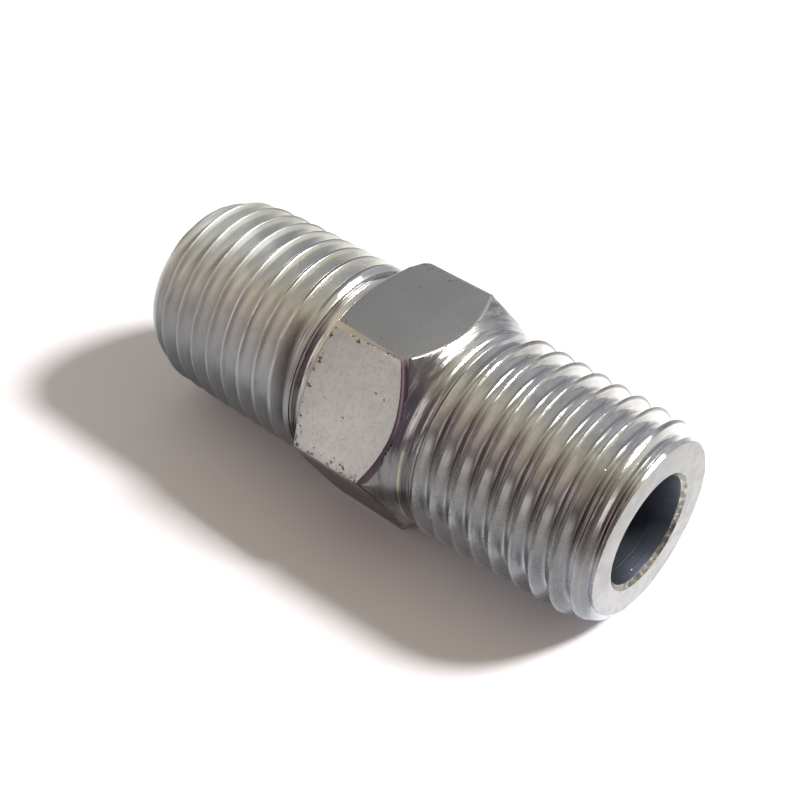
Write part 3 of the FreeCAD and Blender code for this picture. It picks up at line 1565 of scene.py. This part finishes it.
@dataclass
class Studio:
    """Pale floor, one soft key light, an even surrounding and the camera.

    The lens's clip distances are in metres, as the camera takes them.
    """

    floor_height: float = -7.15
    floor_size: float = 1600.0
    floor_tone: Tone = (0.87, 0.84, 0.865)
    key_direction: Vector = field(default_factory=lambda: Vector((0.525, 0.448, 0.723)))
    key_distance: float = 1000.0
    key_diameter: float = 170.0
    key_power: float = 12.6
    room: Room = field(default_factory=Room)
    sensor: float = 36.0
    lens: float = 65.776
    clip: tuple[float, float] = (0.005, 20.0)
    eye: Vector = field(default_factory=lambda: Vector((44.0386, -53.4452, 62.0392)))
    right: Vector = field(default_factory=lambda: Vector((0.75928873, 0.65070206, 0.00821291)))
    down: Vector = field(default_factory=lambda: Vector((0.44015082, -0.50422384, -0.74298423)))

    def lay_floor(self) -> None:
        """Lay the plain pale floor under the nipple."""
        bm = bmesh.new()
        bmesh.ops.create_grid(bm, x_segments=1, y_segments=1, size=self.floor_size / 2.0)
        bmesh.ops.translate(bm, verts=bm.verts[:], vec=(0.0, 0.0, self.floor_height))
        paper, shader, bench = new_material("white paper")
        inputs = {"Base Color": (*self.floor_tone, 1.0), "Roughness": 0.9, "Specular IOR Level": 0.1}
        bench.feed(shader, inputs)
        stand("floor", bm, [paper])

    def light(self) -> None:
        """Place the key light and what the plate mirrors."""
        lamp = bpy.data.lights.new("key", "AREA")
        lamp.shape = "DISK"
        lamp.size = self.key_diameter * METRES
        lamp.energy = self.key_power
        key = bpy.data.objects.new("key", lamp)
        direction = self.key_direction.normalized()
        key.location = direction * self.key_distance * METRES
        key.rotation_euler = direction.to_track_quat("Z", "Y").to_euler()
        bpy.context.collection.objects.link(key)
        bpy.context.scene.world = self.room.world()
        self.room.paper.stage(self.floor_height, self.floor_size)
        for card in self.room.cards:
            card.stage()

    def set_camera(self) -> None:
        """Stand the camera where the photograph was taken from."""
        lens = bpy.data.cameras.new("camera")
        lens.sensor_width = self.sensor
        lens.lens = self.lens
        lens.clip_start, lens.clip_end = self.clip
        camera = bpy.data.objects.new("camera", lens)
        forward = self.right.cross(self.down)
        turn = Matrix((self.right, -self.down, -forward)).transposed()
        camera.matrix_world = Matrix.Translation(self.eye * METRES) @ turn.to_4x4()
        bpy.context.collection.objects.link(camera)
        bpy.context.scene.camera = camera
        bpy.context.scene.view_settings.view_transform = "Standard"


# The nipple's own sizes and finishes

FRONT = Fade(Way.BACK, 0.0, -3.0)
# Where the threads' front gets painted shade: a dark reflection painted into the colour.
FRONT_SHADE_AREA = (Fade(Way.BACK, -1.7, -4.4), Fade(Way.UP, 0.3, 2.8))
LEAD_AREA = (Fade(Way.ALONG, 16.1, 16.5), Fade(Way.UP, 3.5, 1.5))
SHADED_NEAR_RIMS = (Fade(Way.ALONG, 1.0, 2.6), Fade(Way.BACK, -3.8, -4.2))
LOW_THREAD_ROUGHNESS = (0.13, Fade(Way.UP, 4.5, 2.5))
# Tone of the painted shade on the threads.
PAINTED_SHADE_TONE = (0.06, 0.035, 0.04)
# Painted reflection: the threads' lower side tinted cool blue.
LOW_PAINTED_COOL_REFLECTION = Shade((0.78, 0.83, 0.93), 0.8, (Fade(Way.UP, 1.8, -1.2),))

# Pitches past a thread's crest, and how much of a painted shade its section gets there

NEAR_FRONT_SHADE_CURVE = (
    (-0.50, 0.60),
    (-0.44, 0.30),
    (-0.35, 0.10),
    (-0.20, 0.15),
    (-0.12, 0.15),
    (-0.06, 0.50),
    (0.00, 0.72),
    (0.05, 0.48),
    (0.09, 0.00),
    (0.19, 0.08),
    (0.25, 0.42),
    (0.31, 0.66),
    (0.38, 0.76),
    (0.45, 0.95),
    (0.50, 0.90),
)
NEAR_CROWN_SHADE_CURVE = (
    (-0.50, 0.0),
    (0.06, 0.0),
    (0.10, 0.15),
    (0.25, 0.20),
    (0.29, 1.0),
    (0.35, 1.0),
    (0.39, 0.0),
    (0.50, 0.0),
)
NEAR_UNDER_SHADE_CURVE = (
    (-0.50, 0.6),
    (-0.05, 0.5),
    (0.04, 0.3),
    (0.10, 1.0),
    (0.27, 1.0),
    (0.33, 0.2),
    (0.45, 0.2),
    (0.50, 0.6),
)
FAR_FRONT_SHADE_CURVE = (
    (-0.50, 0.10),
    (-0.46, 0.55),
    (-0.40, 0.50),
    (-0.35, 0.25),
    (-0.30, 0.00),
    (-0.20, 0.05),
    (-0.16, 0.50),
    (-0.11, 0.80),
    (-0.07, 0.45),
    (-0.02, 0.00),
    (0.50, 0.00),
)
FAR_CROWN_SHADE_CURVE = (
    (-0.50, 0.2),
    (-0.46, 0.2),
    (-0.38, 1.0),
    (-0.20, 1.0),
    (-0.15, 0.1),
    (0.50, 0.1),
)


def nipple_shape() -> Nipple:
    """Give the nipple its sizes.

    Returns:
        The nipple, not built yet.
    """
    near_thread = TaperThread(
        neck_end=5.45,
        neck_radius=6.71,
        groove_place=5.732,
        full_depth_place=6.33,
        runout_turns=0.64,
        shank_radius=7.0,
        seed=1.3,
    )
    far_thread = TaperThread(
        neck_end=4.60,
        neck_radius=6.60,
        groove_place=5.511,
        full_depth_place=5.43,
        runout_turns=0.75,
        shank_radius=6.8,
        seed=7.9,
        zone=Zone.DULL_THREAD,
        ridge=0.0,
    )
    near_end = HexEnd(
        corner_place=2.70,
        slope=45.0,
        root_radius=2.0,
        neck_radius=near_thread.neck_radius,
        neck_end=near_thread.neck_end,
        seam_depth=0.04,
        die_marks=(
            (4.12, 0.245),
            (4.27, 0.132),
            (4.31, 0.130),
            (4.36, 0.115),
            (4.40, 0.100),
            (4.47, 0.072),
            (4.55, 0.052),
            (4.63, 0.038),
            (4.71, 0.026),
            (4.75, 0.004),
            (4.78, 0.010),
            (4.85, 0.022),
            (4.97, -0.066),
            (5.00, -0.066),
            (5.03, -0.040),
            (5.06, -0.006),
            (5.10, 0.0),
            (5.20, -0.006),
            (5.24, -0.024),
            (5.28, -0.004),
            (5.38, 0.0),
        ),
    )
    far_end = HexEnd(
        corner_place=2.62,
        slope=60.0,
        root_radius=1.0,
        neck_radius=far_thread.neck_radius,
        neck_end=far_thread.neck_end,
    )
    return Nipple(near_thread, far_thread, Hexagon(near_end, far_end), BorePassage())


def near_thread_steel() -> ThreadSteel:
    """Give the near thread its finish.

    Returns:
        The finish, not built yet.
    """
    shaded_lead_front = (Fade(Way.ALONG, 15.9, 16.3), Fade(Way.BACK, -1.6, -2.8), Fade(Way.UP, 1.5, 3.2))
    crown = (Fade(Way.UP, 5.0, 5.75), Fade(Way.BACK, -3.5, -2.3))
    return ThreadSteel(
        "plated thread",
        colour=(0.90, 0.90, 0.90),
        stain=(0.70, 0.67, 0.64),
        stain_scale=900.0,
        roughness=0.13,
        roughness_swing=0.04,
        roughened=(LOW_THREAD_ROUGHNESS,),
        shades=(
            # Painted shade over the front.
            Shade(PAINTED_SHADE_TONE, 0.72, FRONT_SHADE_AREA, NEAR_FRONT_SHADE_CURVE),
            # Painted reflection: the lower part of the lead chamfer made paler.
            Shade((0.97, 0.96, 0.98), 1.0, LEAD_AREA),
            # Painted shade on part of each flank along the top.
            Shade((0.33, 0.34, 0.36), 0.68, crown, NEAR_CROWN_SHADE_CURVE),
            LOW_PAINTED_COOL_REFLECTION,
            # Painted shade on the upper front of the lead chamfer.
            Shade(PAINTED_SHADE_TONE, 0.42, shaded_lead_front),
            # Painted shade on the lower side, apart from the lower lead chamfer.
            Shade(PAINTED_SHADE_TONE, 0.30, (Fade(Way.UP, 3.2, -1.5),), NEAR_UNDER_SHADE_CURVE, LEAD_AREA),
        ),
    )


def far_thread_steel() -> ThreadSteel:
    """Give the far thread its finish, duller than the near one's.

    Returns:
        The finish, not built yet.
    """
    crown = (Fade(Way.UP, 5.2, 5.95), Fade(Way.BACK, -4.2, -2.4), Fade(Way.ALONG, -6.5, -11.0, 0.4))
    ring = (FRONT, Fade(Way.UP, 5.9, 5.2))
    return ThreadSteel(
        "dull plated thread",
        colour=(0.90, 0.895, 0.86),
        stain=(0.80, 0.79, 0.75),
        roughness=0.25,
        roughened=((0.16, Fade(Way.ALONG, -8.0, -15.0)), LOW_THREAD_ROUGHNESS),
        groove_shade_and_dirt_share=0.0,
        crest_share=0.80,
        crest_fade=Fade(Way.BACK, -4.0, -2.6),
        bead_bump=0.5,
        burr_bump=0.3,
        shades=(
            # Painted shade over the front.
            Shade(PAINTED_SHADE_TONE, 0.6, FRONT_SHADE_AREA, FAR_FRONT_SHADE_CURVE),
            # Painted reflection: the lower part tinted cool.
            Shade((0.86, 0.88, 0.92), 0.7, (Fade(Way.UP, 5.0, 1.5),)),
            # Painted shade along the top, weaker towards the hexagon.
            Shade((0.33, 0.34, 0.36), 0.85, crown, FAR_CROWN_SHADE_CURVE),
            # Painted shade on the top of the far end.
            Shade((0.33, 0.33, 0.30), 0.55, (Fade(Way.ALONG, -11.5, -14.5), Fade(Way.UP, 4.4, 5.6))),
            LOW_PAINTED_COOL_REFLECTION,
            # Painted shade on the lower side.
            Shade(PAINTED_SHADE_TONE, 0.45, (Fade(Way.UP, 0.5, -3.0),)),
            # Painted shade: two darker rings on the front, beside the neck.
            Shade(PAINTED_SHADE_TONE, 0.8, (Band(-5.25, 0.42, 0.5), *ring)),
            Shade(PAINTED_SHADE_TONE, 0.2, (Band(-4.75, 0.2, 0.5), *ring)),
        ),
    )


def neck_steel() -> NeckSteel:
    """Give both necks their finish, with a few rings of painted highlight and painted shade on the front,
    and a painted highlight on top.

    Returns:
        The finish, not built yet.
    """
    top = (
        Fade(Way.UP, 5.8, 6.5),
        Fade(Way.BACK, 3.0, 0.0),
        Fade(Way.BACK, -2.4, -1.2),
        Fade(Way.OUT, 3.1, 3.6),
    )
    return NeckSteel(
        "plated neck",
        colour=(0.50, 0.50, 0.52),
        stain=(0.42, 0.42, 0.44),
        roughness=0.14,
        roughened=((0.09, Fade(Way.BACK, -3.0, -1.2)),),
        ring_bump=0.55,
        shades=(
            # Painted shade: a dark blue-grey ring on the upper front of the near blend.
            Shade((0.27, 0.27, 0.305), 1.0, (Band(3.45, 0.95), FRONT, Fade(Way.UP, 1.5, 3.5))),
            # Painted reflection: a warm pale stripe round the lower front of the near neck.
            Shade((0.96, 0.86, 0.68), 1.0, (Band(4.57, 0.14), FRONT, Fade(Way.UP, 3.6, 2.4))),
            # Painted shade: a darker ring on the front of the near neck.
            Shade((0.33, 0.32, 0.34), 1.0, (Band(4.95, 0.42), FRONT, Fade(Way.UP, 6.2, 5.4))),
            # Painted highlight: a pale ring on the upper front of the far blend.
            Shade((0.95, 0.92, 0.91), 1.0, (Band(-3.50, 0.75), FRONT, Fade(Way.UP, 0.2, 2.0))),
            # Painted shade: a dark ring on the front of the far neck.
            Shade((0.20, 0.18, 0.18), 1.0, (Band(-4.20, 0.28), FRONT, Fade(Way.UP, 5.9, 5.2))),
            # Painted highlight along the top of both necks.
            Shade((0.92, 0.90, 0.86), 1.0, top),
        ),
    )


def nipple_finishes() -> list[PlatedSteel]:
    """Give each kind of surface its finish.

    Returns:
        The finishes, in the zones' order.
    """
    finishes = {
        Zone.THREAD: near_thread_steel(),
        Zone.NECK: neck_steel(),
        Zone.FLAT: FlatSteel(
            "plated flat",
            colour=(0.97, 0.955, 0.94),
            stain=(0.88, 0.85, 0.83),
            roughness=0.38,
            grain_bump=0.5,
            shades=(
                # Painted shade on the lower flats.
                Shade((0.20, 0.185, 0.215), 1.0, (Fade(Way.UP, 0.5, -1.5),)),
                # Painted shade on the back flats, dimming the key light's reflection there.
                Shade((0.50, 0.49, 0.48), 1.0, (Fade(Way.BACK, 1.0, 2.5),)),
                # Painted shade on the top flat.
                Shade((0.43, 0.425, 0.42), 1.0, (Fade(Way.UP, 7.0, 7.1),)),
            ),
        ),
        Zone.END_FACE: FaceSteel(
            "plated end face",
            colour=(0.62, 0.62, 0.63),
            roughness=0.42,
            grain_bump=1.1,
            # Painted shade, darker towards the top of the end faces.
            shades=(Shade((0.36, 0.36, 0.37), 0.5, (Fade(Way.UP, -2.0, 5.0),)),),
        ),
        Zone.BORE: BoreSteel(
            "plated bore",
            colour=(0.38, 0.41, 0.48),
            stain=(0.32, 0.35, 0.41),
            roughness=0.50,
            # Painted shade on the lower part of the bore.
            shades=(Shade((0.095, 0.105, 0.13), 1.0, (Fade(Way.UP, 0.5, -2.0),)),),
        ),
        Zone.EDGE: PlatedSteel(
            "plated edge",
            colour=(0.78, 0.74, 0.69),
            stain=(0.5, 0.46, 0.44),
            roughness=0.24,
            # Painted shade on the edges' near rims at the front.
            shades=(Shade((0.21, 0.155, 0.19), 1.0, SHADED_NEAR_RIMS),),
        ),
        Zone.MOUTH: PlatedSteel(
            "plated mouth",
            colour=(0.27, 0.265, 0.23),
            stain=(0.88, 0.87, 0.83),
            stain_share=0.9,
            stain_scale=2200.0,
            roughness=0.24,
            grain_bump=2.0,
        ),
        Zone.DULL_THREAD: far_thread_steel(),
    }
    return [finishes[zone] for zone in Zone]


def main() -> None:
    """Build the nipple, dress it and set it in the studio."""
    logging.basicConfig(level=logging.INFO, format="%(name)s: %(message)s")
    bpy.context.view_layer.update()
    piece = nipple_shape().place([finish.material() for finish in nipple_finishes()])
    log.info("%s: %d triangles at most", piece.name, 2 * len(piece.data.polygons))
    studio = Studio()
    studio.lay_floor()
    studio.light()
    studio.set_camera()


if __name__ == "__main__":
    main()
